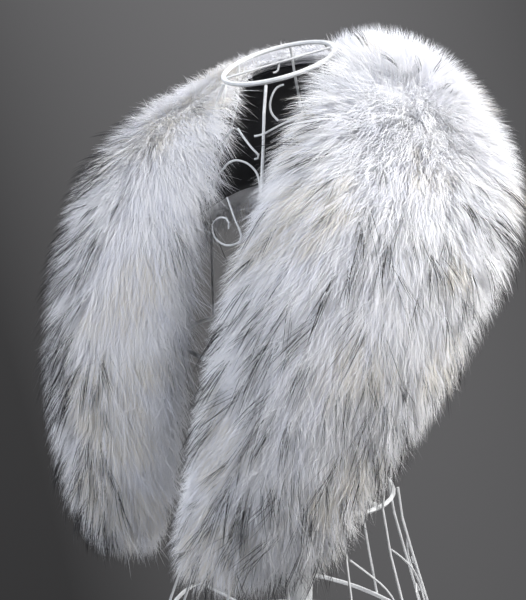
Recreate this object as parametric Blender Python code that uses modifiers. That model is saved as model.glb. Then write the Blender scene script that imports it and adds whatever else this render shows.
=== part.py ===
"""Fur collar wrap resting on a white wire dress form.

Metres, +Z up, the front faces -Y and the wearer's left is +X.
The origin is the middle of the base plate's underside, on the pole's axis.
Heights are given as a drop below the neck ring's centre.
"""

import math

import bpy
from mathutils import Vector

for old in list(bpy.data.objects):
    bpy.data.objects.remove(old, do_unlink=True)

# Driving dimensions
NECK_HEIGHT = 0.769      # neck ring's centre above the floor
BUST_DROP = 0.293
WAIST_DROP = 0.456
HOOP_DROP = 0.649
RING_DIAMETER = 0.005
WIRE_DIAMETER = 0.003
SCROLL_DIAMETER = 0.0022
NECK_BAR_DIAMETER = 0.0025
GAP = 0.0003             # left between pieces that touch
RING_INSET = 0.0051      # ring's centre line inside the wires' centre lines

NECK_RING_RADIUS = 0.0575
NECK_RING_Y = -0.040
NECK_RING_TILT = math.radians(21)    # front down

BASE_RADIUS = 0.140
BASE_THICKNESS = 0.006
POLE_DIAMETER = 0.026
WAIST_BAR_DIAMETER = 0.008

LINING_WALL = 0.0015
BACKING_WALL = 0.0020
CLOTH_GAP = 0.0004       # between one layer's flat facets and the next's
CLOTH_ALONG = 22         # facets along half the collar
CLOTH_ACROSS = 6         # facets across it

# The cage below the bust, at the wires' centre lines: half widths of its level sections
CAGE = (
    # drop, half_x, front, back
    (0.293, 0.145, 0.135, 0.105),
    (0.370, 0.125, 0.108, 0.096),
    (0.456, 0.115, 0.092, 0.092),
    (0.550, 0.144, 0.113, 0.113),
    (0.649, 0.182, 0.140, 0.140),
    (0.656, 0.184, 0.142, 0.142),
)

# Upper part of each long wire, from the neck ring to the bust ring, on the +X side
UPPER_WIRES = {
    # name: angle round the cage in degrees (0 is +X, 90 is the back), (x, y, drop) points
    "front": (-60, ((0.0288, -0.0865, 0.018), (0.0370, -0.0985, 0.055), (0.0400, -0.1020, 0.088),
                    (0.0450, -0.1090, 0.128), (0.0600, -0.1150, 0.215))),
    "side": (0, ((0.0575, -0.0400, 0.000), (0.0600, -0.0390, 0.030), (0.0700, -0.0350, 0.056),
                 (0.0960, -0.0240, 0.084), (0.1240, -0.0110, 0.112), (0.1400, -0.0030, 0.142),
                 (0.1460, 0.0000, 0.180), (0.1470, 0.0000, 0.230))),
    "back": (60, ((0.0288, 0.0065, -0.018), (0.0420, 0.0330, 0.030), (0.0540, 0.0620, 0.085),
                  (0.0640, 0.0840, 0.150), (0.0700, 0.0900, 0.220))),
}

# The front of the cage above the bust, for the scrolls: y = -(depth - bow * x * x)
CHEST = (
    # drop, depth, bow
    (0.010, 0.0930, 8.9),
    (0.021, 0.0945, 8.9),
    (0.088, 0.1100, 5.0),
    (0.128, 0.1180, 4.4),
    (0.210, 0.1300, 3.8),
    (0.293, 0.1350, 3.4),
)
SCROLL_INSET = 0.0044    # scrolls lie this far inside the wires' centre lines

# Scrolls on the chest that come in pairs, as (x, drop) points of the +X one
CHEST_PAIRS = {
    "scroll_neck": ((0.0410, 0.0205), (0.0360, 0.0230), (0.0335, 0.0290), (0.0328, 0.0350),
                    (0.0335, 0.0415), (0.0366, 0.0480), (0.0430, 0.0540)),
    "scroll_cross": ((0.0640, 0.0460), (0.0580, 0.0505), (0.0510, 0.0545), (0.0420, 0.0607),
                     (0.0320, 0.0670), (0.0240, 0.0690)),
    "scroll_tail": ((0.0030, 0.0625), (0.0120, 0.0705), (0.0240, 0.0805), (0.0315, 0.0860),
                    (0.0322, 0.0890), (0.0285, 0.0905)),
}
# Single scrolls at the chest's middle
CHEST_SINGLES = {
    "scroll_arch": ((0.0400, 0.1240), (0.0380, 0.1138), (0.0330, 0.1030), (0.0220, 0.0950),
                    (0.0084, 0.0925), (-0.0018, 0.0954), (-0.0083, 0.1007), (-0.0170, 0.1110),
                    (-0.0205, 0.1220)),
    "scroll_spiral": ((0.0020, 0.1283), (0.0150, 0.1480), (0.0245, 0.1620), (0.0228, 0.1700),
                      (0.0083, 0.1745), (-0.0082, 0.1697), (-0.0158, 0.1590), (-0.0105, 0.1510),
                      (0.0010, 0.1480), (0.0080, 0.1520), (0.0088, 0.1585)),
}
# Scrolls in the hip panels: share of the panel from its first wire to its second, drop
HIP_SCROLL = (
    # share, drop
    (0.080, 0.500), (0.350, 0.513), (0.680, 0.532), (0.850, 0.552), (0.830, 0.571),
    (0.680, 0.578), (0.540, 0.569), (0.530, 0.555), (0.640, 0.548), (0.710, 0.557),
)
HIP_PANELS = (-30, 0, 30)    # first wire of each panel with a scroll, degrees

# The collar's halves from the centre back to the front ends, with x towards each half's own
# side. It sits turned a little to the wearer's left, so the right end hangs lower and nearer
# the middle. Each row is the cloth's section there: inner edge, outer edge, how far its
# middle bulges, and the pile's height and its reach past the two edges.
COLLAR = {
    # inner x, y, drop,       outer x, y, drop,        bulge, pile, past_inner, past_outer
    "left": (
        (0.000, 0.040, 0.000,    0.000, 0.138, 0.136,    0.019, 0.038, 0.014, 0.036),
        (0.045, 0.028, 0.002,    0.100, 0.118, 0.138,    0.022, 0.042, 0.014, 0.036),
        (0.073, 0.000, 0.007,    0.166, 0.070, 0.141,    0.028, 0.044, 0.015, 0.036),
        (0.085, -0.039, 0.022,   0.196, 0.016, 0.170,    0.031, 0.046, 0.018, 0.036),
        (0.086, -0.076, 0.064,   0.197, -0.018, 0.216,   0.035, 0.047, 0.024, 0.036),
        (0.082, -0.106, 0.122,   0.186, -0.048, 0.272,   0.040, 0.048, 0.030, 0.036),
        (0.078, -0.126, 0.192,   0.166, -0.078, 0.324,   0.040, 0.048, 0.032, 0.036),
        (0.070, -0.142, 0.268,   0.144, -0.102, 0.376,   0.034, 0.048, 0.032, 0.038),
        (0.056, -0.152, 0.350,   0.122, -0.120, 0.424,   0.026, 0.048, 0.032, 0.040),
        (0.034, -0.159, 0.462,   0.102, -0.135, 0.458,   0.014, 0.046, 0.030, 0.040),
    ),
    "right": (
        (0.000, 0.040, 0.000,    0.000, 0.138, 0.136,    0.019, 0.038, 0.014, 0.036),
        (0.044, 0.028, 0.003,    0.100, 0.116, 0.140,    0.018, 0.038, 0.014, 0.036),
        (0.070, -0.002, 0.014,   0.164, 0.068, 0.150,    0.024, 0.039, 0.015, 0.036),
        (0.074, -0.045, 0.037,   0.204, 0.012, 0.194,    0.034, 0.042, 0.020, 0.038),
        (0.061, -0.094, 0.072,   0.212, -0.018, 0.235,   0.050, 0.048, 0.030, 0.040),
        (0.048, -0.120, 0.132,   0.212, -0.048, 0.298,   0.062, 0.050, 0.036, 0.042),
        (0.042, -0.136, 0.207,   0.202, -0.076, 0.352,   0.064, 0.050, 0.036, 0.042),
        (0.042, -0.147, 0.297,   0.184, -0.102, 0.405,   0.056, 0.050, 0.034, 0.042),
        (0.050, -0.154, 0.395,   0.160, -0.124, 0.452,   0.042, 0.048, 0.032, 0.042),
        (0.068, -0.157, 0.478,   0.136, -0.142, 0.490,   0.016, 0.046, 0.030, 0.040),
    ),
}
SIDE = {"left": 1, "right": -1}    # sign of x of each half
PILE_PAST_END = 0.036
SEAM_X = 0.00015         # half of the gap at the centre-back seam


def material(name, colour, roughness, metallic=0.0):
    made = bpy.data.materials.new(name)
    made.use_nodes = True
    surface = made.node_tree.nodes["Principled BSDF"]
    surface.inputs["Base Color"].default_value = (*colour, 1)
    surface.inputs["Roughness"].default_value = roughness
    surface.inputs["Metallic"].default_value = metallic
    return made


def paint(name):
    return material(name + "_paint", (0.80, 0.81, 0.82), 0.42)


collection = bpy.data.collections.new("fur_collar_on_wire_form")
bpy.context.scene.collection.children.link(collection)


def keep(obj, surface):
    """Puts an object in the part's collection with its material."""
    for owner in list(obj.users_collection):
        owner.objects.unlink(obj)
    collection.objects.link(obj)
    obj.data.materials.clear()
    obj.data.materials.append(surface)
    return obj


def at(x, y, drop):
    return Vector((x, y, NECK_HEIGHT - drop))


def spline_value(values, share):
    """Catmull-Rom value through evenly spaced values, at a share from 0 to 1."""
    place = min(max(share, 0.0), 1.0) * (len(values) - 1)
    i = min(int(place), len(values) - 2)
    f = place - i
    b, c = values[i], values[i + 1]
    a = values[i - 1] if i else b * 2 - c
    d = values[i + 2] if i + 2 < len(values) else c * 2 - b
    return (b * 2 + (c - a) * f + (a * 2 - b * 5 + c * 4 - d) * f**2
            + (b * 3 - a - c * 3 + d) * f**3) * 0.5


def looked_up(table, first, column):
    """Smooth value of a column at a value of the table's first column."""
    rows = [row[0] for row in table]
    first = min(max(first, rows[0]), rows[-1])
    i = min(max(sum(r <= first for r in rows) - 1, 0), len(rows) - 2)
    f = (first - rows[i]) / (rows[i + 1] - rows[i])

    def slope(k):
        low, high = max(k - 1, 0), min(k + 1, len(rows) - 1)
        return (table[high][column] - table[low][column]) / (rows[high] - rows[low])

    width = rows[i + 1] - rows[i]
    b, c = table[i][column], table[i + 1][column]
    return ((2 * f**3 - 3 * f**2 + 1) * b + (f**3 - 2 * f**2 + f) * width * slope(i)
            + (3 * f**2 - 2 * f**3) * c + (f**3 - f**2) * width * slope(i + 1))


def smoothed(points, count):
    """Points along a smooth line through the given ones, evenly spaced in length."""
    points = [Vector(p) for p in points]
    fine = [spline_value(points, k / 400) for k in range(401)]
    runs = [0.0]
    for p, q in zip(fine, fine[1:]):
        runs.append(runs[-1] + (q - p).length)
    made, k = [], 0
    for n in range(count + 1):
        want = runs[-1] * n / count
        while k < 399 and runs[k + 1] < want:
            k += 1
        span = runs[k + 1] - runs[k]
        made.append(fine[k].lerp(fine[k + 1], (want - runs[k]) / span if span else 0.0))
    return made


def mirrored(points):
    return [Vector((-p.x, p.y, p.z)) for p in points]


def tube(name, points, diameter, closed=False, sides=2, radii=None):
    """Round wire along the points; sides is its bevel resolution."""
    curve = bpy.data.curves.new(name, "CURVE")
    curve.dimensions = "3D"
    curve.bevel_depth = diameter / 2
    curve.bevel_resolution = sides
    curve.use_fill_caps = not closed
    spline = curve.splines.new("POLY")
    spline.points.add(len(points) - 1)
    for k, (place, p) in enumerate(zip(spline.points, points)):
        place.co = (*p, 1.0)
        if radii:
            place.radius = radii[k]
    spline.use_cyclic_u = closed
    spline.use_smooth = True
    obj = bpy.data.objects.new(name, curve)
    return keep(obj, paint(name))


def shortened(points, first, last):
    """The line with its ends cut back."""
    made = list(points)
    if first:
        made[0] = made[0] + (made[1] - made[0]).normalized() * first
    if last:
        made[-1] = made[-1] + (made[-2] - made[-1]).normalized() * last
    return made


def cage_point(angle, drop, inset=0.0):
    """Point on the cage below the bust, at an angle round it."""
    half_x = looked_up(CAGE, drop, 1) - inset
    half_y = looked_up(CAGE, drop, 2 if math.sin(angle) < 0 else 3) - inset
    return at(half_x * math.cos(angle), half_y * math.sin(angle), drop)


def neck_point(angle, radius=NECK_RING_RADIUS):
    return at(radius * math.cos(angle),
              NECK_RING_Y + radius * math.sin(angle) * math.cos(NECK_RING_TILT),
              -radius * math.sin(angle) * math.sin(NECK_RING_TILT))


def chest_point(x, drop):
    """Point on the cage's front above the bust, just inside its wires."""
    depth = looked_up(CHEST, drop, 1) - SCROLL_INSET
    return at(x, -(depth - looked_up(CHEST, drop, 2) * x * x), drop)


def rings():
    def level(drop, count):
        return [cage_point(math.tau * k / count, drop, RING_INSET) for k in range(count)]

    tube("neck_ring", [neck_point(math.tau * k / 40) for k in range(40)], RING_DIAMETER, closed=True)
    tube("bust_ring", level(BUST_DROP, 44), RING_DIAMETER, closed=True, sides=1)
    tube("waist_ring", level(WAIST_DROP, 40), RING_DIAMETER, closed=True, sides=1)
    tube("hip_hoop", level(HOOP_DROP, 48), RING_DIAMETER, closed=True, sides=1)


def neck_bar():
    """Thin bar across the neck ring, with a small hook under its middle."""
    reach = NECK_RING_RADIUS - RING_DIAMETER / 2 - GAP * 2
    angle = math.radians(50)
    points = [neck_point(angle, reach * s) for s in (-1, 0, 1)]
    tube("neck_bar", points, NECK_BAR_DIAMETER, sides=1)
    middle = points[1]
    along = (points[2] - points[0]).normalized()
    down = Vector((0, 0, -1))
    start = NECK_BAR_DIAMETER / 2 + GAP * 2
    hook = [middle + down * (start + low) - along * back for low, back in
            ((0, 0), (0.0025, 0), (0.0050, 0.0006), (0.0068, 0.0030), (0.0066, 0.0058))]
    tube("neck_hook", hook, 0.002, sides=1)


def long_wires():
    for name, (degrees, upper) in UPPER_WIRES.items():
        angle = math.radians(degrees)
        guide = [at(*p) for p in upper] + [cage_point(angle, BUST_DROP)]
        points = shortened(smoothed(guide, 9), RING_DIAMETER / 2 + GAP * 3, 0)
        for first, last, count in ((BUST_DROP, WAIST_DROP, 4), (WAIST_DROP, HOOP_DROP, 4)):
            points += [cage_point(angle, first + (last - first) * k / count)
                       for k in range(1, count + 1)]
        points.append(cage_point(angle, HOOP_DROP + 0.006))
        tube(name + "_wire_left", points, WIRE_DIAMETER)
        tube(name + "_wire_right", mirrored(points), WIRE_DIAMETER)


def short_wires():
    names = {-90: "front_middle", -30: "front_left", 30: "back_left",
             90: "back_middle", 150: "back_right", 210: "front_right"}
    for degrees, name in names.items():
        angle = math.radians(degrees)
        count = 6
        drops = [WAIST_DROP - 0.006 + (HOOP_DROP - WAIST_DROP + 0.012) * k / count
                 for k in range(count + 1)]
        tube("hip_wire_" + name, [cage_point(angle, d) for d in drops], WIRE_DIAMETER, sides=1)


def scrolls():
    for name, outline in CHEST_PAIRS.items():
        points = smoothed([chest_point(x, drop) for x, drop in outline], 12)
        tube(name + "_left", points, SCROLL_DIAMETER, sides=1)
        tube(name + "_right", mirrored(points), SCROLL_DIAMETER, sides=1)
    for name, outline in CHEST_SINGLES.items():
        points = smoothed([chest_point(x, drop) for x, drop in outline], 22)
        tube(name, points, SCROLL_DIAMETER, sides=1)
    for number, first in enumerate(HIP_PANELS, 1):
        outline = [cage_point(math.radians(first + 30 * share), drop, 0.001)
                   for share, drop in HIP_SCROLL]
        points = smoothed(outline, 15)
        tube(f"scroll_hip_{number}_left", points, SCROLL_DIAMETER, sides=1)
        tube(f"scroll_hip_{number}_right", mirrored(points), SCROLL_DIAMETER, sides=1)


def rod(name, first, last, diameter, around=16):
    """Straight round rod between two points."""
    along = last - first
    bpy.ops.mesh.primitive_cylinder_add(vertices=around, radius=diameter / 2,
                                        depth=along.length, location=(first + last) / 2)
    obj = bpy.context.object
    obj.name = obj.data.name = name
    obj.rotation_mode = "QUATERNION"
    obj.rotation_quaternion = along.to_track_quat("Z", "Y")
    obj.data.shade_smooth()
    obj.data.set_sharp_from_angle(angle=math.radians(40))
    return keep(obj, paint(name))


def stand():
    bpy.ops.mesh.primitive_cylinder_add(vertices=48, radius=BASE_RADIUS, depth=BASE_THICKNESS,
                                        location=(0, 0, BASE_THICKNESS / 2))
    plate = bpy.context.object
    plate.name = plate.data.name = "base_plate"
    edge = plate.modifiers.new("rounded_edge", "BEVEL")
    edge.width = 0.002
    edge.segments = 1
    edge.limit_method = "ANGLE"
    edge.angle_limit = math.radians(40)
    plate.data.shade_smooth()
    plate.data.set_sharp_from_angle(angle=math.radians(40))
    keep(plate, paint("base_plate"))

    bar_z = NECK_HEIGHT - WAIST_DROP
    top = bar_z - WAIST_BAR_DIAMETER / 2 - GAP
    rod("pole", Vector((0, 0, BASE_THICKNESS + GAP)), Vector((0, 0, top)), POLE_DIAMETER)
    reach = looked_up(CAGE, WAIST_DROP, 1) - RING_INSET - RING_DIAMETER / 2 - GAP * 4
    rod("waist_bar", Vector((-reach, 0, bar_z)), Vector((reach, 0, bar_z)), WAIST_BAR_DIAMETER, 12)
    hoop_z = NECK_HEIGHT - HOOP_DROP
    reach = looked_up(CAGE, HOOP_DROP, 1) - RING_INSET - RING_DIAMETER / 2 - GAP * 3
    near = POLE_DIAMETER / 2 + GAP
    for side, name in ((1, "hip_spoke_left"), (-1, "hip_spoke_right")):
        rod(name, Vector((side * near, 0, hoop_z)), Vector((side * reach, 0, hoop_z)),
            WIRE_DIAMETER, 8)


def collar_row(half, run):
    """A half's section at a share of its run: inner, outer, bulge, pile, past edges."""
    values = [spline_value([row[k] for row in COLLAR[half]], run) for k in range(10)]
    return at(*values[:3]), at(*values[3:6]), *values[6:]


def cloth_point(half, run, across):
    """Point of the cloth's inner face; across runs from the inner edge to the outer."""
    inner, outer, bulge, *_ = collar_row(half, run)
    chord = outer - inner
    middle = (inner + outer) / 2
    core = Vector((0, -0.010, min(middle.z, NECK_HEIGHT - 0.170)))
    out = middle - core
    out = (out - chord * (out.dot(chord) / chord.length_squared)).normalized()
    return inner + chord * across + out * (4 * bulge * across * (1 - across))


def cloth_frame(half, run, across):
    """Point, outward normal and direction across, with across held between the edges."""
    step = 0.004
    across = min(max(across, 0.0), 1.0)
    point = cloth_point(half, run, across)
    low, high = max(across - step, 0.0), min(across + step, 1.0)
    sideways = (cloth_point(half, run, high) - cloth_point(half, run, low)).normalized()
    low, high = max(run - step, 0.0), min(run + step, 1.0)
    along = (cloth_point(half, high, across) - cloth_point(half, low, across)).normalized()
    if run <= 0.0:
        along = Vector((1, 0, 0))
        sideways.x = 0
    normal = along.cross(sideways).normalized()
    core = Vector((0, -0.010, point.z - 0.05))
    if normal.dot(point - core) < 0:
        normal = -normal
    return point, normal, sideways, along


def seam_side(point):
    """Keeps a point on the left of the centre-back seam."""
    return Vector((max(point.x, SEAM_X), point.y, point.z))


def mesh_object(name, points, faces, surface):
    mesh = bpy.data.meshes.new(name)
    mesh.from_pydata([tuple(p) for p in points], [], faces)
    mesh.update()
    mesh.shade_smooth()
    obj = bpy.data.objects.new(name, mesh)
    return keep(obj, surface)


def sheet(name, half, lift, wall, surface):
    """One half's cloth as an open surface at a height over the inner face, with its wall."""
    side = SIDE[half]
    points, faces = [], []
    for i in range(CLOTH_ALONG + 1):
        for j in range(CLOTH_ACROSS + 1):
            point, normal, _, _ = cloth_frame(half, i / CLOTH_ALONG, j / CLOTH_ACROSS)
            point = seam_side(point + normal * lift)
            points.append(Vector((side * point.x, point.y, point.z)))
    row = CLOTH_ACROSS + 1
    for i in range(CLOTH_ALONG):
        for j in range(CLOTH_ACROSS):
            corner = i * row + j
            face = (corner, corner + row, corner + row + 1, corner + 1)
            faces.append(face if side > 0 else face[::-1])
    obj = mesh_object(name, points, faces, surface)
    shell = obj.modifiers.new("wall", "SOLIDIFY")
    shell.thickness = wall
    shell.offset = 1.0
    shell.use_even_offset = True
    return obj


def pile_section(half, run):
    """Closed outline of the pile round the cloth's section."""
    _, _, _, pile, past_inner, past_outer = collar_row(half, run)
    under = LINING_WALL + BACKING_WALL + 2 * CLOTH_GAP + GAP
    # share of the reach past the edge, share of the pile's height
    edge = ((0.50, 0.14), (0.88, 0.30), (1.00, 0.50), (0.88, 0.74), (0.52, 0.93))
    outline = []
    for j in range(CLOTH_ACROSS + 1):
        point, normal, _, _ = cloth_frame(half, run, j / CLOTH_ACROSS)
        outline.append(point + normal * under)
    point, normal, sideways, _ = cloth_frame(half, run, 1.0)
    for past, height in edge:
        outline.append(point + sideways * (past_outer * past) + normal * max(pile * height, under))
    for j in range(CLOTH_ACROSS, -1, -1):
        point, normal, _, _ = cloth_frame(half, run, j / CLOTH_ACROSS)
        outline.append(point + normal * pile)
    point, normal, sideways, _ = cloth_frame(half, run, 0.0)
    for past, height in reversed(edge):
        outline.append(point - sideways * (past_inner * past) + normal * max(pile * height, under))
    return outline


def pile_solid(name, half, surface):
    """Plain solid of the pile's reach, rounded off past the front end."""
    side = SIDE[half]
    loops = [[seam_side(p) for p in pile_section(half, i / CLOTH_ALONG)]
             for i in range(CLOTH_ALONG + 1)]
    last = loops[-1]
    middle = sum(last, Vector()) / len(last)
    _, _, _, along = cloth_frame(half, 1.0, 0.5)
    for share in (0.45, 0.80, 1.0):
        shrink = math.sqrt(max(1 - share**2, 0.0)) * 0.62 + 0.38
        loops.append([middle + (p - middle) * shrink + along * (PILE_PAST_END * share) for p in last])
    for p in loops[0]:
        p.x = SEAM_X
    count = len(last)
    points = [Vector((side * p.x, p.y, p.z)) for loop in loops for p in loop]
    faces = []
    for i in range(len(loops) - 1):
        for j in range(count):
            a, b = i * count + j, i * count + (j + 1) % count
            faces.append((a, b, b + count, a + count))
    faces.append(tuple(range(count - 1, -1, -1)))
    faces.append(tuple((len(loops) - 1) * count + j for j in range(count)))
    if side < 0:
        faces = [face[::-1] for face in faces]
    return mesh_object(name, points, faces, surface)


def collar():
    for half in SIDE:
        satin = material(f"lining_{half}_satin", (0.010, 0.010, 0.012), 0.38)
        knit = material(f"backing_{half}_knit", (0.62, 0.62, 0.64), 0.90)
        fur = material(f"pile_{half}_fur", (0.80, 0.80, 0.84), 0.85)
        sheet(f"lining_{half}", half, 0.0, LINING_WALL, satin)
        sheet(f"backing_{half}", half, LINING_WALL + CLOTH_GAP, BACKING_WALL, knit)
        pile_solid(f"pile_{half}", half, fur)


rings()
neck_bar()
long_wires()
short_wires()
scrolls()
stand()
collar()
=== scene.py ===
"""Looks of the fur collar wrap on its wire dress form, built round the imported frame.

Metres, +Z up, the front faces -Y and the wearer's left is +X. Heights are given as a drop
below the neck ring's centre, as in the solids.
"""

import math

import bpy
import numpy as np
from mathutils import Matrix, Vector


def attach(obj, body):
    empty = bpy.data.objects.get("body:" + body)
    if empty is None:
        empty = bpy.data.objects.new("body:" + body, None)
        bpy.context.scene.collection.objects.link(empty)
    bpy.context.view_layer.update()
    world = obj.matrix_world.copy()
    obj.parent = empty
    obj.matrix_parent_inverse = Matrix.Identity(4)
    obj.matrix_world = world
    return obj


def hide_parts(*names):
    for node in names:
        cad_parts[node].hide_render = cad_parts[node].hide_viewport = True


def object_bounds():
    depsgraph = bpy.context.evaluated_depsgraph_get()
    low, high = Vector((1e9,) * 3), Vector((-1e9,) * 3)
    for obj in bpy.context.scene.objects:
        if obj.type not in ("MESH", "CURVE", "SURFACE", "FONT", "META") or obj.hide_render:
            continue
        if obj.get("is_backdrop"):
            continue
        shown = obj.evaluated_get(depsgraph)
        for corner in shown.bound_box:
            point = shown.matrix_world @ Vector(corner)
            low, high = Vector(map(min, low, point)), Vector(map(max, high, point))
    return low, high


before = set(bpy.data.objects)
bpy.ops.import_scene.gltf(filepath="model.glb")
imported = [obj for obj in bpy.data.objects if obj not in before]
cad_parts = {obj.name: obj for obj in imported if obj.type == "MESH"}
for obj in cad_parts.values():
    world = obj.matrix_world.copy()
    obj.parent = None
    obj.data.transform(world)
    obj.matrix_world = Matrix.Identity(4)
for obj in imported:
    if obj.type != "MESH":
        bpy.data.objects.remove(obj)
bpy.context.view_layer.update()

NECK_HEIGHT = 0.769
SIDE = {"left": 1.0, "right": -1.0}
LINING_WALL = 0.0015     # walls of the CAD's cloths
BACKING_WALL = 0.0020
LINING_SHELL = 0.0008    # walls of the scene's cloths, inside those
BACKING_SHELL = 0.0018
CLOTH_GAP = 0.0004
SEAM_X = 0.00015         # half of the gap at the centre-back seam
CLOTH_RUNS, CLOTH_ACROSS = 110, 30      # faces of each cloth along and across

# The collar's halves from the centre back to the front ends, x towards each half's side
COLLAR = {
    # inner x, y, drop,       outer x, y, drop,        bulge, pile, past_inner, past_outer
    "left": (
        (0.000, 0.040, 0.000,    0.000, 0.138, 0.136,    0.019, 0.038, 0.014, 0.036),
        (0.045, 0.028, 0.002,    0.100, 0.118, 0.138,    0.022, 0.042, 0.014, 0.036),
        (0.073, 0.000, 0.007,    0.166, 0.070, 0.141,    0.028, 0.044, 0.015, 0.036),
        (0.085, -0.039, 0.022,   0.196, 0.016, 0.170,    0.031, 0.046, 0.018, 0.036),
        (0.086, -0.076, 0.064,   0.197, -0.018, 0.216,   0.035, 0.047, 0.024, 0.036),
        (0.082, -0.106, 0.122,   0.186, -0.048, 0.272,   0.040, 0.048, 0.030, 0.036),
        (0.078, -0.126, 0.192,   0.166, -0.078, 0.324,   0.040, 0.048, 0.032, 0.036),
        (0.070, -0.142, 0.268,   0.144, -0.102, 0.376,   0.034, 0.048, 0.032, 0.038),
        (0.056, -0.152, 0.350,   0.122, -0.120, 0.424,   0.026, 0.048, 0.032, 0.040),
        (0.034, -0.159, 0.462,   0.102, -0.135, 0.458,   0.014, 0.046, 0.030, 0.040),
    ),
    "right": (
        (0.000, 0.040, 0.000,    0.000, 0.138, 0.136,    0.019, 0.038, 0.014, 0.036),
        (0.044, 0.028, 0.003,    0.100, 0.116, 0.140,    0.018, 0.038, 0.014, 0.036),
        (0.070, -0.002, 0.014,   0.164, 0.068, 0.150,    0.024, 0.039, 0.015, 0.036),
        (0.074, -0.045, 0.037,   0.204, 0.012, 0.194,    0.034, 0.042, 0.020, 0.038),
        (0.061, -0.094, 0.072,   0.212, -0.018, 0.235,   0.050, 0.048, 0.030, 0.040),
        (0.048, -0.120, 0.132,   0.212, -0.048, 0.298,   0.062, 0.050, 0.036, 0.042),
        (0.042, -0.136, 0.207,   0.202, -0.076, 0.352,   0.064, 0.050, 0.036, 0.042),
        (0.042, -0.147, 0.297,   0.184, -0.102, 0.405,   0.056, 0.050, 0.034, 0.042),
        (0.050, -0.154, 0.395,   0.160, -0.124, 0.452,   0.042, 0.048, 0.032, 0.042),
        (0.068, -0.157, 0.478,   0.136, -0.142, 0.490,   0.016, 0.046, 0.030, 0.040),
    ),
}


# ---------------------------------------------------------------- materials

def new_material(name, colour, roughness, **sockets):
    made = bpy.data.materials.new(name)
    made.use_nodes = True
    shader = made.node_tree.nodes["Principled BSDF"]
    shader.inputs["Base Color"].default_value = (*colour, 1)
    shader.inputs["Roughness"].default_value = roughness
    for key, value in sockets.items():
        shader.inputs[key.replace("_", " ")].default_value = value
    return made, made.node_tree, shader


def node(tree, kind, **settings):
    made = tree.nodes.new(kind)
    for key, value in settings.items():
        if key in made.inputs:
            made.inputs[key].default_value = value
        else:
            setattr(made, key, value)
    return made


def ramp(tree, source, stops):
    made = tree.nodes.new("ShaderNodeValToRGB")
    made.color_ramp.elements[0].position, made.color_ramp.elements[0].color = stops[0]
    made.color_ramp.elements[1].position, made.color_ramp.elements[1].color = stops[-1]
    for place, colour in stops[1:-1]:
        made.color_ramp.elements.new(place).color = colour
    tree.links.new(source, made.inputs["Fac"])
    return made.outputs["Color"]


def bump(tree, shader, height, strength, distance):
    made = node(tree, "ShaderNodeBump", Strength=strength, Distance=distance)
    tree.links.new(height, made.inputs["Height"])
    tree.links.new(made.outputs["Normal"], shader.inputs["Normal"])


def enamel():
    """White paint on wire: a few grey rubs and fine orange peel."""
    made, tree, shader = new_material("white_enamel", (0.78, 0.79, 0.80), 0.36)
    place = node(tree, "ShaderNodeTexCoord").outputs["Object"]
    rubs = node(tree, "ShaderNodeTexNoise", Scale=38.0, Detail=6.0, Roughness=0.65)
    tree.links.new(place, rubs.inputs["Vector"])
    colour = ramp(tree, rubs.outputs["Fac"], [
        (0.28, (0.42, 0.42, 0.43, 1)),
        (0.42, (0.60, 0.61, 0.62, 1)),
        (0.75, (0.72, 0.73, 0.74, 1))])
    tree.links.new(colour, shader.inputs["Base Color"])
    gloss = ramp(tree, rubs.outputs["Fac"], [
        (0.3, (0.55, 0.55, 0.55, 1)), (0.6, (0.32, 0.32, 0.32, 1))])
    tree.links.new(gloss, shader.inputs["Roughness"])
    peel = node(tree, "ShaderNodeTexNoise", Scale=900.0, Detail=2.0)
    tree.links.new(place, peel.inputs["Vector"])
    bump(tree, shader, peel.outputs["Fac"], 0.12, 0.0006)
    return made


def satin():
    """Black satin: a tight weave, a soft sheen and long shallow ripples, with painted sheen on the
    ripples' crests and painted shade in their troughs.
    """
    made, tree, shader = new_material("black_satin", (0.006, 0.006, 0.008), 0.34,
                                      Sheen_Weight=0.25, Sheen_Roughness=0.35)
    place = node(tree, "ShaderNodeTexCoord").outputs["Object"]
    ripple = node(tree, "ShaderNodeTexNoise", Scale=26.0, Detail=3.0, Roughness=0.5)
    tree.links.new(place, ripple.inputs["Vector"])
    # painted sheen and shade: the colour follows the ripples' bump, a little lighter on their
    # crests and darker in their troughs
    colour = ramp(tree, ripple.outputs["Fac"], [
        (0.35, (0.004, 0.004, 0.006, 1)), (0.7, (0.016, 0.016, 0.022, 1))])
    tree.links.new(colour, shader.inputs["Base Color"])
    weave = node(tree, "ShaderNodeTexWave", Scale=420.0, Distortion=0.6,
                 bands_direction="DIAGONAL")
    tree.links.new(place, weave.inputs["Vector"])
    mixed = node(tree, "ShaderNodeMath", operation="MULTIPLY_ADD")
    mixed.inputs[1].default_value = 0.12
    tree.links.new(weave.outputs["Fac"], mixed.inputs[0])
    tree.links.new(ripple.outputs["Fac"], mixed.inputs[2])
    bump(tree, shader, mixed.outputs["Value"], 0.5, 0.004)
    return made


def knit():
    """Off-white knitted backing of the fur, its colour darker in the grooves between the rows as
    painted shade.
    """
    made, tree, shader = new_material("fur_backing", (0.62, 0.62, 0.64), 0.9, Sheen_Weight=0.2)
    place = node(tree, "ShaderNodeTexCoord").outputs["Object"]
    rows = node(tree, "ShaderNodeTexWave", Scale=240.0, Distortion=1.5)
    tree.links.new(place, rows.inputs["Vector"])
    # painted shade: the colour follows the rows' bump, darker in the grooves and lighter on the
    # ridges
    colour = ramp(tree, rows.outputs["Fac"], [
        (0.0, (0.50, 0.50, 0.53, 1)), (1.0, (0.68, 0.68, 0.70, 1))])
    tree.links.new(colour, shader.inputs["Base Color"])
    bump(tree, shader, rows.outputs["Fac"], 0.4, 0.001)
    return made


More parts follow.
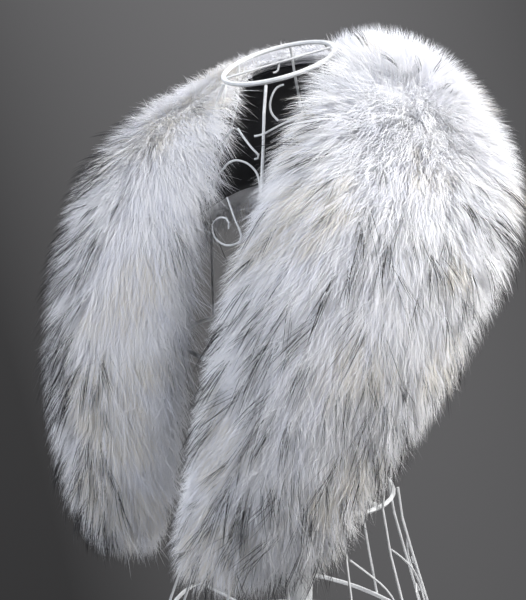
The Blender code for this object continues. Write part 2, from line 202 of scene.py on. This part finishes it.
def underfur():
    """Dense down beneath the long hair, its colour darker and cooler in the dips of its bump as
    painted shade.
    """
    made, tree, shader = new_material("fur_down", (0.74, 0.74, 0.80), 0.95, Sheen_Weight=0.3)
    place = node(tree, "ShaderNodeTexCoord").outputs["Object"]
    down = node(tree, "ShaderNodeTexNoise", Scale=160.0, Detail=6.0, Roughness=0.7)
    tree.links.new(place, down.inputs["Vector"])
    # painted shade: the colour follows the down's bump, a cooler, darker white in its dips and near
    # white on its tops
    colour = ramp(tree, down.outputs["Fac"], [
        (0.3, (0.84, 0.84, 0.88, 1)), (0.7, (0.95, 0.95, 0.97, 1))])
    tree.links.new(colour, shader.inputs["Base Color"])
    bump(tree, shader, down.outputs["Fac"], 1.0, 0.004)
    return made


def hair(name, colour, roughness):
    """One hair colour, a plain constant so that each strand keeps it."""
    made, _, _ = new_material(name, colour, roughness, Specular_IOR_Level=0.10,
                              Diffuse_Roughness=1.0, Sheen_Weight=0.45, Sheen_Roughness=0.6)
    return made


# ---------------------------------------------------------------- the collar's surface

CORE_Y = -0.010         # the form's axis
CORE_DROP = 0.170       # the cloth above this bulges away from the axis here


def spline_rows(table, run):
    """Catmull-Rom rows of a table at shares of its run."""
    rows = np.array(table)
    place = np.clip(run, 0, 1) * (len(rows) - 1)
    i = np.minimum(place.astype(int), len(rows) - 2)
    f = (place - i)[:, None]
    b, c = rows[i], rows[i + 1]
    a = np.where((i > 0)[:, None], rows[np.maximum(i - 1, 0)], 2 * b - c)
    d = np.where((i + 2 < len(rows))[:, None], rows[np.minimum(i + 2, len(rows) - 1)], 2 * c - b)
    return 0.5 * (2 * b + (c - a) * f + (2 * a - 5 * b + 4 * c - d) * f**2
                  + (3 * b - a - 3 * c + d) * f**3)


def unit(v):
    return v / np.maximum(np.linalg.norm(v, axis=-1, keepdims=True), 1e-12)


def dot(a, b):
    return (a * b).sum(-1, keepdims=True)


def cloth_points(half, run, across):
    """Points of the cloth's inner face, with x towards the half's own side."""
    rows = spline_rows(COLLAR[half], run)
    inner, outer = rows[:, :3].copy(), rows[:, 3:6].copy()
    inner[:, 2], outer[:, 2] = NECK_HEIGHT - inner[:, 2], NECK_HEIGHT - outer[:, 2]
    chord, middle = outer - inner, (inner + outer) / 2
    core = np.zeros_like(middle)        # the form's axis, which the cloth bulges away from
    core[:, 1] = CORE_Y
    core[:, 2] = np.minimum(middle[:, 2], NECK_HEIGHT - CORE_DROP)
    out = middle - core
    out = unit(out - chord * dot(out, chord) / dot(chord, chord))
    t = across[:, None]
    return inner + chord * t + out * (4 * rows[:, 6:7] * t * (1 - t))


def cell_areas(points):
    """Area of each cell of a grid of points."""
    along, sideways = points[1:, :-1] - points[:-1, :-1], points[:-1, 1:] - points[:-1, :-1]
    return np.linalg.norm(np.cross(along, sideways), axis=-1)


def cloth_frame(half, run, across):
    """Point, outward normal, direction across and direction along, at each place."""
    step = 0.004
    point = cloth_points(half, run, across)
    low, high = np.maximum(across - step, 0), np.minimum(across + step, 1)
    sideways = unit(cloth_points(half, run, high) - cloth_points(half, run, low))
    low, high = np.maximum(run - step, 0), np.minimum(run + step, 1)
    along = unit(cloth_points(half, high, across) - cloth_points(half, low, across))
    normal = unit(np.cross(along, sideways))
    core = np.zeros_like(point)
    core[:, 1], core[:, 2] = CORE_Y, point[:, 2] - 0.05
    normal = np.where(dot(normal, point - core) < 0, -normal, normal)
    return point, normal, sideways, along


def on_side(half, points):
    made = points.copy()
    made[..., 0] *= SIDE[half]
    return made


def cloth_object(name, half, lift, wall, surface):
    """The cloth as a fine open grid at a height over the inner face, given its wall."""
    runs, acrosses = CLOTH_RUNS, CLOTH_ACROSS
    s, t = np.meshgrid(np.linspace(0, 1, runs + 1), np.linspace(0, 1, acrosses + 1), indexing="ij")
    point, normal, _, _ = cloth_frame(half, s.ravel(), t.ravel())
    points = point + normal * lift
    points[:, 0] = np.maximum(points[:, 0], SEAM_X)
    points = on_side(half, points)
    row = acrosses + 1
    corner = (np.arange(runs)[:, None] * row + np.arange(acrosses)[None]).ravel()
    faces = np.stack([corner, corner + row, corner + row + 1, corner + 1], 1)
    if SIDE[half] < 0:
        faces = faces[:, ::-1]
    mesh = bpy.data.meshes.new(name)
    mesh.from_pydata(points.tolist(), [], faces.tolist())
    mesh.shade_smooth()
    made = bpy.data.objects.new(name, mesh)
    bpy.context.scene.collection.objects.link(made)
    mesh.materials.append(surface)
    shell = made.modifiers.new("wall", "SOLIDIFY")    # outwards from the inner face
    shell.thickness, shell.offset, shell.use_even_offset = wall, 1.0, True
    return made


def cloth_area(half):
    s, t = np.meshgrid(np.linspace(0, 1, 121), np.linspace(0, 1, 25), indexing="ij")
    points = cloth_points(half, s.ravel(), t.ravel()).reshape(121, 25, 3)
    return float(cell_areas(points).sum())


# ---------------------------------------------------------------- hair

GRAVITY = np.array([0.0, 0.0, -1.0])
DOWN_SHARE = 0.55       # height and overhang of the down, as shares of the whole pile's
DOWN_LIFT = 0.0011      # lowest place of the down's face over the backing, at its edges
UNDER_LIFT = 0.0009     # the down's underside over the backing
CAP = 0.07              # how far run goes on past 1, round the front end
CAP_REACH = {"left": 0.040, "right": 0.016}
# How far the fur goes past the inner edge, as (run, share of the solid's) pairs
INNER_TRIM = {
    "left": ((0.0, 1.0), (0.28, 0.95), (0.42, 0.62), (0.56, 0.85), (0.72, 1.70), (1.0, 2.10)),
    "right": ((0.0, 1.0), (0.25, 1.40), (0.33, 2.10), (0.42, 1.90), (0.54, 0.95), (0.66, 0.45),
              (1.0, 0.45)),
}
END_TRIM = {"left": 0.9, "right": 0.2}      # how much shorter the front end is at its outer corner
DOWN_RUNS, DOWN_ACROSS = 150, 60            # points of the down's grid along and across
DOWN_STEP = 0.003       # step for its tangents
ROOT_DEPTH = 0.003      # hair roots lie this far inside the down
MOST_HEIGHT = 1.16      # tallest hair, as a share of its group's height
SWAY = 0.0016           # how far a hair waves to its side


def rising(value, start, width):
    """From 0 at the start to 1 a width further on."""
    return np.clip((value - start) / width, 0, 1)


def falling(value, start, width):
    return np.clip(1 - (value - start) / width, 0, 1)


def down_points(half, run, across):
    """Outer face of the down: crowned over the cloth, rounded over its edges and front end."""
    point, normal, sideways, along = cloth_frame(half, np.minimum(run, 1), across)
    rows = spline_rows(COLLAR[half], run)
    turn = np.clip((run - 1) / CAP, 0, 1)[:, None] * math.pi / 2
    fan = (2 * across - 1)[:, None]
    low = LINING_WALL + BACKING_WALL + DOWN_LIFT
    crown = np.sqrt(np.maximum(1 - np.abs(fan) ** 6, 0))
    high = low + (DOWN_SHARE * rows[:, 7:8] - low) * crown * np.cos(turn)
    trim = np.interp(run, *zip(*INNER_TRIM[half]))[:, None]
    past = np.where(fan < 0, rows[:, 8:9] * trim, rows[:, 9:10]) * DOWN_SHARE
    reach = CAP_REACH[half] * (1 - END_TRIM[half] * across[:, None])
    made = (point + normal * high + sideways * (np.sign(fan) * np.abs(fan) ** 5 * past)
            + along * (reach * np.sin(turn)))
    made[:, 0] = np.maximum(made[:, 0], SEAM_X)
    return made


class Pelt:
    """The down's face as a grid of points with the hair's lie, read at any place."""

    def __init__(self, half):
        self.half = half
        self.runs = np.linspace(0, 1 + CAP, DOWN_RUNS)
        self.acrosses = np.linspace(0.0, 1.0, DOWN_ACROSS)
        run, across = np.meshgrid(self.runs, self.acrosses, indexing="ij")
        run, across = run.ravel(), across.ravel()
        point = down_points(half, run, across)
        over = (down_points(half, run, np.minimum(across + DOWN_STEP, 1))
                - down_points(half, run, np.maximum(across - DOWN_STEP, 0)))
        on = (down_points(half, np.minimum(run + DOWN_STEP, 1 + CAP), across)
              - down_points(half, np.maximum(run - DOWN_STEP, 0), across))
        normal = unit(np.cross(on, over))
        _, cloth_normal, sideways, along = cloth_frame(half, np.minimum(run, 1), across)
        outward = cloth_normal + 0.2 * along * (run > 1)[:, None]
        normal = unit(np.where(dot(normal, outward) < 0, -normal, normal))
        nap, lean, height = self.lie(run, across, normal, sideways, along)
        # columns: point 0-2, normal 3-5, nap 6-8, lean 9, height 10
        table = np.concatenate([point, normal, nap, lean[:, None], height[:, None]], 1)
        self.table = table.reshape(DOWN_RUNS, DOWN_ACROSS, -1)
        self.cells = cell_areas(self.table[..., :3])
        self.area = self.cells.sum()

    def lie(self, run, across, normal, sideways, along):
        """Direction, lean and height of the hair at each place."""
        rows = spline_rows(COLLAR[self.half], run)
        left = self.half == "left"
        inner = np.clip(1 - 2 * across, 0, 1) ** 1.3
        outer = np.clip(2 * across - 1, 0, 1) ** 1.3
        trim = np.interp(run, *zip(*INNER_TRIM[self.half]))
        upper = falling(run, 0.40, 0.30)                        # from the back to the chest
        top = np.clip(1 - np.abs(run - 0.28) / 0.20, 0, 1)      # over the shoulder
        onward = 0.76 * (1 - 0.45 * inner * upper - 0.30 * outer) * (1 - 0.40 * top)
        sideward = 0.8 * outer - (0.30 + 0.45 * upper) * inner * trim - 0.08
        if not left:
            sideward = sideward + 0.55 * rising(across, 0.15, 0.25) * falling(run, 0.35, 0.5)
        nap = along * onward[:, None] + sideways * sideward[:, None] + GRAVITY * 0.50
        nap = nap - normal * dot(nap, normal)
        nap = nap / np.maximum(np.linalg.norm(nap, axis=1, keepdims=True), 0.12)
        # hair stands out where the pelt turns over the shoulders and sides, and lies elsewhere
        if left:
            stand = 1.08 - 0.60 * rising(run, 0.38, 0.22)
            stand = np.maximum(stand, 0.85 * rising(across, 0.68, 0.18))
            stand = np.maximum(stand, 0.95 * inner * rising(run, 0.50, 0.15))
        else:
            stand = np.clip(0.50 + 2.2 * (across - 0.16), 0.50, 1) * (1 + 0.15 * upper)
        ring = np.clip((0.024 - rows[:, 8]) / 0.010, 0, 1) * np.clip(1 - across / 0.35, 0, 1)
        end = rising(run, 0.90, 0.12) * (across if left else 1)
        lean = (1.35 - 0.60 * stand) * (1 - 0.20 * upper) * (1 - 0.65 * ring) * (1 - 0.35 * end)
        height = rows[:, 7] * stand * (1 - 0.05 * ring) * (1 - 0.25 * end)
        if not left:
            height = height * (1 - 0.35 * inner * (1 - upper))
        return nap, lean, height

    def at(self, run, across):
        """Rows of the table at places given as shares of the grid."""
        u, v = run * (DOWN_RUNS - 1), across * (DOWN_ACROSS - 1)
        i = np.minimum(u.astype(int), DOWN_RUNS - 2)
        j = np.minimum(v.astype(int), DOWN_ACROSS - 2)
        f, g = (u - i)[:, None], (v - j)[:, None]
        t = self.table
        return (t[i, j] * (1 - f) * (1 - g) + t[i + 1, j] * f * (1 - g)
                + t[i, j + 1] * (1 - f) * g + t[i + 1, j + 1] * f * g)

    def scatter(self, random, count, weight=None):
        """Random places, even over the area or as the weight says."""
        long, wide = self.cells.shape
        odds = self.cells
        if weight is not None:
            s = (np.arange(long)[:, None] + 0.5) / long + np.zeros(self.cells.shape)
            t = (np.arange(wide)[None] + 0.5) / wide + np.zeros(self.cells.shape)
            odds = odds * weight(s, t)
        chosen = random.choice(odds.size, count, p=(odds / odds.sum()).ravel())
        run = (chosen // wide + random.rand(count)) / long
        return run, (chosen % wide + random.rand(count)) / wide

    def spread(self, random, run, across, radius):
        """Places strewn in a disc round the given ones."""
        n = len(run)
        least, on, over = 0.15, 0.01, 0.02      # least metres for a whole run, and two steps
        here = self.at(run, across)[:, :3]
        there = self.at(np.minimum(run + on, 1), across)[:, :3]
        beside = self.at(run, np.minimum(across + over, 1))[:, :3]
        per_run = np.maximum(np.linalg.norm(there - here, axis=1) / on, least)
        per_across = np.maximum(np.linalg.norm(beside - here, axis=1) / over, least)
        angle, far = random.rand(n) * math.tau, np.sqrt(random.rand(n)) * radius
        return (np.clip(run + far * np.cos(angle) / per_run, 0, 1),
                np.clip(across + far * np.sin(angle) / per_across, 0, 1))

    def paths(self, run, across, height, lean, swing, steps):
        """Hair centre lines that rise from the down and lie over along the nap."""
        row = self.at(run, across)
        normal, nap = unit(row[:, 3:6]), row[:, 6:9]
        nap = nap * np.cos(swing)[:, None] + np.cross(normal, nap) * np.sin(swing)[:, None]
        u = np.array(steps)
        rise = (1.30 * u - 0.30 * u**2)[None, :, None] * (row[:, 10] * height)[:, None, None]
        over = (0.35 * u + 0.65 * u**2)[None, :, None] * (row[:, 9] * lean)[:, None, None]
        root = row[:, :3] - normal * ROOT_DEPTH
        return root[:, None] + normal[:, None] * rise + nap[:, None] * over, normal


def strands(random, pelt, tufts, members, radius, height, lean, pull, steps, weight=None,
            swing=0.25, loose=0.12):
    """Hairs in tufts whose tips draw together: centre lines, normals and tuft numbers.

    Height and lean are shares of the pile's height and metres; pull is how far the tips draw
    together, swing how much tufts turn and loose how much a hair differs from its tuft.
    """
    run, across = pelt.scatter(random, tufts, weight)
    swung = random.randn(tufts) * swing
    high = height * np.clip(1 + random.randn(tufts) * 0.14, 0.65, 1.35)
    far = lean * np.clip(1 + random.randn(tufts) * 0.18, 0.5, 1.5)
    lead, _ = pelt.paths(run, across, high, far, swung, steps)
    own = np.repeat(np.arange(tufts), members)
    n = len(own)
    strewn_run, strewn_across = pelt.spread(random, run[own], across[own], radius)
    tall = np.minimum(high[own] * np.clip(1 + random.randn(n) * loose, 0.6, 1.35),
                      height * MOST_HEIGHT)
    out = far[own] * np.clip(1 + random.randn(n) * loose, 0.5, 1.5)
    turned = swung[own] + random.randn(n) * loose * 1.3
    paths, normal = pelt.paths(strewn_run, strewn_across, tall, out, turned, steps)
    u = np.array(steps)
    held = np.clip(pull * (0.6 + 0.8 * random.rand(tufts)), 0, 0.95)[own]
    share = (held[:, None] * u[None] ** 1.4)[:, :, None]
    paths = paths * (1 - share) + lead[own] * share
    side = np.cross(normal, unit(paths[:, -1] - paths[:, 0]))
    wave = random.randn(n, 1, 1) * SWAY * np.sin(u * 4.5 + 0.3)[None, :, None]
    return paths + side[:, None] * wave, normal, own


def ribbons(name, half, paths, normal, widths, random, slots, surfaces, twist):
    """A mesh of flat tapering strands; slots gives each stretch's material."""
    n, k, _ = paths.shape
    tangent = unit(np.gradient(paths, axis=1))
    turn = np.clip(random.randn(n, 1) * twist, -1.4, 1.4)
    flat = unit(np.cross(tangent, np.broadcast_to(normal[:, None], paths.shape)))
    stood = np.cross(flat, tangent)
    wide = flat * np.cos(turn)[..., None] + stood * np.sin(turn)[..., None]
    wide = wide * (np.array(widths)[None, :, None] * (0.75 + 0.5 * random.rand(n, 1, 1)) / 2)
    verts = np.empty((n, 2 * k - 1, 3))
    verts[:, 0:-1:2] = (paths - wide)[:, :-1]
    verts[:, 1::2] = (paths + wide)[:, :-1]
    verts[:, -1] = paths[:, -1]
    verts = on_side(half, verts)
    j = np.arange(k - 2)
    quads = np.stack([2 * j, 2 * j + 1, 2 * j + 3, 2 * j + 2], 1).ravel()
    one = np.concatenate([quads, [2 * k - 4, 2 * k - 3, 2 * k - 2]])
    loops = (one[None] + (np.arange(n) * (2 * k - 1))[:, None]).ravel()
    totals = np.tile(np.array([4] * (k - 2) + [3]), n)
    mesh = bpy.data.meshes.new(name)
    mesh.vertices.add(n * (2 * k - 1))
    mesh.vertices.foreach_set("co", verts.astype(np.float32).ravel())
    mesh.loops.add(len(loops))
    mesh.loops.foreach_set("vertex_index", loops.astype(np.int32))
    mesh.polygons.add(len(totals))
    starts = np.concatenate([[0], np.cumsum(totals)[:-1]])
    mesh.polygons.foreach_set("loop_start", starts.astype(np.int32))
    for surface in surfaces:
        mesh.materials.append(surface)
    slots = np.ascontiguousarray(slots).astype(np.int32)
    mesh.polygons.foreach_set("material_index", slots.ravel())
    mesh.polygons.foreach_set("use_smooth", np.ones(len(totals), bool))
    mesh.update(calc_edges=True)
    made = bpy.data.objects.new(name, mesh)
    bpy.context.scene.collection.objects.link(made)
    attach(made, "root")
    return made


white_hairs = [hair("fur_white", (0.96, 0.96, 0.97), 0.75),
               hair("fur_cool", (0.90, 0.91, 0.96), 0.75),
               hair("fur_cream", (0.90, 0.87, 0.81), 0.75)]
WHITE, COOL, CREAM = range(3)
dark_hairs = [white_hairs[WHITE],
              hair("fur_grey", (0.13, 0.12, 0.13), 0.5),
              hair("fur_black", (0.010, 0.009, 0.011), 0.42)]

PELT_AREA = 0.36        # that the counts of hairs below are for, in square metres
WHITE_HAIRS = 172000
WHITE_WIDTHS = (0.00042, 0.00042, 0)
WHITE_STEPS = (0.0, 0.55, 1.0)
WHITE_TUFTS = (
    # group, pull, hairs in a tuft, height, lean
    ("a", 0.36, 16, 0.41, 0.038),
    ("b", 0.16, 10, 0.48, 0.041),
    ("c", 0.04, 6, 0.60, 0.045),
)
GUARD_TUFTS, GUARD_MEMBERS = 6500, 3
GUARD_WIDTHS = (0.0004, 0.0004, 0.0003, 0)
GUARD_STEPS = (0.0, 0.40, 0.74, 1.0)
DARK_TUFTS, DARK_MEMBERS = 680, 7
DARK_WIDTHS = (0.0004, 0.00045, 0.0006, 0.0006, 0.00048, 0)
DARK_STEPS = (0.0, 0.30, 0.40, 0.60, 0.82, 1.0)
DARK_SLOTS = (0, 1, 2, 2, 2)        # white root, a grey stretch and a black tip


def patches(point, size):
    """Smooth value from -1 to 1 that wanders over the surface."""
    p = point / size
    return (np.sin(p[:, 0] * 1.7 + 2.1 * np.sin(p[:, 2] * 1.1))
            * np.sin(p[:, 2] * 1.3 + 1.4 * np.sin(p[:, 1]))
            + 0.5 * np.sin(p[:, 1] * 2.9 + p[:, 0])) / 1.5


def dark_weight(half):
    """Where the black-tipped tufts grow: s is the share along the pelt, t across it."""
    def weight(s, t):
        if half == "left":
            return (np.where(t < 0.55, 0.9, 0.45) * np.clip(0.35 + 3 * (s - 0.38), 0.35, 1)
                    + 1.3 * np.clip((t - 0.75) * 5, 0, 1))
        fringe = np.clip((t - 0.24) * 8, 0, 1) * np.clip((0.70 - t) * 8, 0, 1)
        return 0.14 + 3.0 * fringe
    return weight


fur_pieces = {"left": [], "right": []}
pelts = {}
for number, half in enumerate(SIDE):
    random = np.random.RandomState(83 + number)
    pelt = pelts[half] = Pelt(half)
    share = pelt.area / PELT_AREA
    for group, pull, members, high, over in WHITE_TUFTS:
        tufts = int(share * WHITE_HAIRS / members / len(WHITE_TUFTS))
        radius = 0.0022 * math.sqrt(members)
        paths, normal, own = strands(random, pelt, tufts, members, radius, high, over, pull,
                                     WHITE_STEPS)
        tint = random.rand(tufts)
        warm = patches(paths[::members, 0], 0.045) > 0.30
        chosen = np.where(tint < 0.30, COOL, WHITE)
        chosen = np.where(warm & (tint > 0.50), CREAM, chosen)[own]
        fur_pieces[half].append(ribbons(
            f"fur_{half}_{group}", half, paths, normal, WHITE_WIDTHS, random,
            np.repeat(chosen[:, None], len(WHITE_STEPS) - 1, axis=1), white_hairs, twist=0.22))
    tufts = int(share * GUARD_TUFTS)
    paths, normal, own = strands(random, pelt, tufts, GUARD_MEMBERS, 0.005, 0.62, 0.046, 0.30,
                                 GUARD_STEPS, swing=0.35, loose=0.2)
    fur_pieces[half].append(ribbons(
        f"fur_{half}_guard", half, paths, normal, GUARD_WIDTHS, random,
        np.full((len(own), len(GUARD_STEPS) - 1), WHITE), white_hairs, twist=1.0))
    tufts = int(share * DARK_TUFTS)
    paths, normal, own = strands(random, pelt, tufts, DARK_MEMBERS, 0.0024, 0.69, 0.068, 0.42,
                                 DARK_STEPS, dark_weight(half), swing=0.28, loose=0.12)
    fur_pieces[half].append(ribbons(
        f"fur_{half}_tips", half, paths, normal, DARK_WIDTHS, random,
        np.tile(np.array(DARK_SLOTS), (len(own), 1)), dark_hairs, twist=1.0))


def down_object(name, pelt, surface):
    """The down as a closed shell between its outer face and its underside on the backing."""
    outer = pelt.table[..., :3].reshape(-1, 3)
    run, across = np.meshgrid(np.minimum(pelt.runs, 1), pelt.acrosses, indexing="ij")
    point, normal, _, _ = cloth_frame(pelt.half, run.ravel(), across.ravel())
    under = point + normal * (LINING_WALL + BACKING_WALL + UNDER_LIFT)
    under[:, 0] = np.maximum(under[:, 0], SEAM_X)
    points = on_side(pelt.half, np.concatenate([outer, under]))
    count = DOWN_RUNS * DOWN_ACROSS
    i, j = np.meshgrid(np.arange(DOWN_RUNS - 1), np.arange(DOWN_ACROSS - 1), indexing="ij")
    a = (i * DOWN_ACROSS + j).ravel()
    top = np.stack([a, a + DOWN_ACROSS, a + DOWN_ACROSS + 1, a + 1], 1)
    last = int(np.sum(pelt.runs <= 1)) - 1
    keep = (i < last).ravel()
    bottom = top[keep][:, ::-1] + count
    faces = [top, bottom]
    for edge in (0, DOWN_ACROSS - 1):
        r = np.arange(last) * DOWN_ACROSS + edge
        strip = np.stack([r, r + DOWN_ACROSS, r + DOWN_ACROSS + count, r + count], 1)
        faces.append(strip[:, ::-1] if edge == 0 else strip)
    mesh = bpy.data.meshes.new(name)
    mesh.from_pydata(points.tolist(), [], np.concatenate(faces).tolist())
    mesh.materials.append(surface)
    mesh.shade_smooth()
    made = bpy.data.objects.new(name, mesh)
    bpy.context.scene.collection.objects.link(made)
    return made


# ---------------------------------------------------------------- cloth under the fur

lining_satin, backing_knit, down = satin(), knit(), underfur()
for half in SIDE:
    area = cloth_area(half)
    lining = cloth_object(f"satin_lining_{half}", half, 0.0, LINING_SHELL, lining_satin)
    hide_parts(f"lining_{half}")
    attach(lining, "root")
    backing = cloth_object(f"fur_backing_{half}", half, LINING_WALL + CLOTH_GAP, BACKING_SHELL,
                           backing_knit)
    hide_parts(f"backing_{half}")
    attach(backing, "root")
    undercoat = down_object(f"fur_down_{half}", pelts[half], down)
    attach(undercoat, "root")
    for piece in [*fur_pieces[half], undercoat]:
        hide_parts(f"pile_{half}")

# ---------------------------------------------------------------- the form

paint = enamel()
for name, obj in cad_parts.items():
    if not name.startswith(("lining", "backing", "pile")):
        for place in obj.material_slots:
            place.material = paint

# ---------------------------------------------------------------- stage, light and camera

scene = bpy.context.scene
FLOOR_RADIUS, FLOOR_SIDES, FLOOR_Z = 0.30, 96, -0.0005
floor_mesh = bpy.data.meshes.new("floor")
turns = [math.tau * k / FLOOR_SIDES for k in range(FLOOR_SIDES)]
floor_mesh.from_pydata([(FLOOR_RADIUS * math.cos(a), FLOOR_RADIUS * math.sin(a), FLOOR_Z)
                        for a in turns], [], [list(range(FLOOR_SIDES))])
floor = bpy.data.objects.new("floor", floor_mesh)
scene.collection.objects.link(floor)
pale, _, _ = new_material("pale_floor", (0.62, 0.62, 0.63), 0.7)
floor_mesh.materials.append(pale)
floor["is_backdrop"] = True

world = bpy.data.worlds.new("studio")
scene.world = world
world.use_nodes = True
tree = world.node_tree
background = tree.nodes["Background"]
direction = node(tree, "ShaderNodeTexCoord").outputs["Generated"]
SWEEP_AZIMUTH = math.radians(45)    # the sweep darkens to both sides of this direction


def maths(operation, *values):
    made = tree.nodes.new("ShaderNodeMath")
    made.operation = operation
    for k, value in enumerate(values):
        if isinstance(value, (int, float)):
            made.inputs[k].default_value = value
        else:
            tree.links.new(value, made.inputs[k])
    return made.outputs[0]


# a grey sweep: lightest level with the top of the form, darker below and to both sides
parts = node(tree, "ShaderNodeSeparateXYZ")
tree.links.new(direction, parts.inputs[0])
aside = tree.nodes.new("ShaderNodeVectorMath")
aside.operation = "DOT_PRODUCT"
tree.links.new(direction, aside.inputs[0])
aside.inputs[1].default_value = (math.cos(SWEEP_AZIMUTH), math.sin(SWEEP_AZIMUTH), 0)
height = maths("MAXIMUM", maths("MINIMUM", parts.outputs["Z"], 0.6), -0.6)
off = maths("MULTIPLY_ADD", height, 0.30, aside.outputs["Value"])
dimmed = maths("MULTIPLY_ADD", maths("MULTIPLY", off, off), -6.5, 1.0)
dimmed = maths("MAXIMUM", dimmed, 0.35)
level = maths("MULTIPLY_ADD", height, 0.09, 0.150)
grey = tree.nodes.new("ShaderNodeCombineColor")
lit = maths("MULTIPLY", level, dimmed)
tree.links.new(lit, grey.inputs[0])
tree.links.new(maths("MULTIPLY", lit, 0.99), grey.inputs[1])
tree.links.new(maths("MULTIPLY", lit, 1.02), grey.inputs[2])
tree.links.new(grey.outputs[0], background.inputs["Color"])
background.inputs["Strength"].default_value = 1.0


def area_light(name, location, target, size, power, colour):
    data = bpy.data.lights.new(name, "AREA")
    data.shape, data.size, data.energy, data.color = "DISK", size, power, colour
    made = bpy.data.objects.new(name, data)
    made.location = location
    made.rotation_mode = "QUATERNION"
    made.rotation_quaternion = (Vector(target) - Vector(location)).to_track_quat("-Z", "Y")
    scene.collection.objects.link(made)


CAMERA_AZIMUTH = math.radians(45)    # towards the wearer's left of the front
CAMERA_DISTANCE = 1.10               # from the pole's axis, level
CAMERA_SIDESTEP = -0.044
CAMERA_PITCH = math.radians(12.8)
right = Vector((math.cos(CAMERA_AZIMUTH), math.sin(CAMERA_AZIMUTH), 0))
toward = Vector((math.sin(CAMERA_AZIMUTH), -math.cos(CAMERA_AZIMUTH), 0))
centre = Vector((0, -0.03, 0.55))
LIGHTS = (
    # name, to the right, towards the camera and above the centre, aim's height, size, watts, colour
    ("key", 1.02, 0.36, 0.94, 0.10, 1.3, 55, (1.0, 0.99, 0.98)),
    ("fill", -1.20, 0.65, 1.00, 0.05, 1.8, 33, (0.88, 0.92, 1.0)),
    ("back", -0.6, -1.2, 1.1, 0.0, 1.4, 12, (0.95, 0.97, 1.0)),
)
for name, aside_by, near_by, above, aim_above, size, power, colour in LIGHTS:
    area_light(name, centre + right * aside_by + toward * near_by + Vector((0, 0, above)),
               centre + Vector((0, 0, aim_above)), size, power, colour)

lens = bpy.data.cameras.new("camera")
camera = bpy.data.objects.new("camera", lens)
scene.collection.objects.link(camera)
scene.camera = camera
lens.sensor_width, lens.lens = 36.0, 62.7
camera.location = toward * CAMERA_DISTANCE + right * CAMERA_SIDESTEP + Vector((0, 0, NECK_HEIGHT))
aim = -toward * math.cos(CAMERA_PITCH) - Vector((0, 0, math.sin(CAMERA_PITCH)))
camera.rotation_mode = "QUATERNION"
camera.rotation_quaternion = aim.to_track_quat("-Z", "Y")
scene.view_settings.view_transform = "Standard"

low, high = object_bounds()
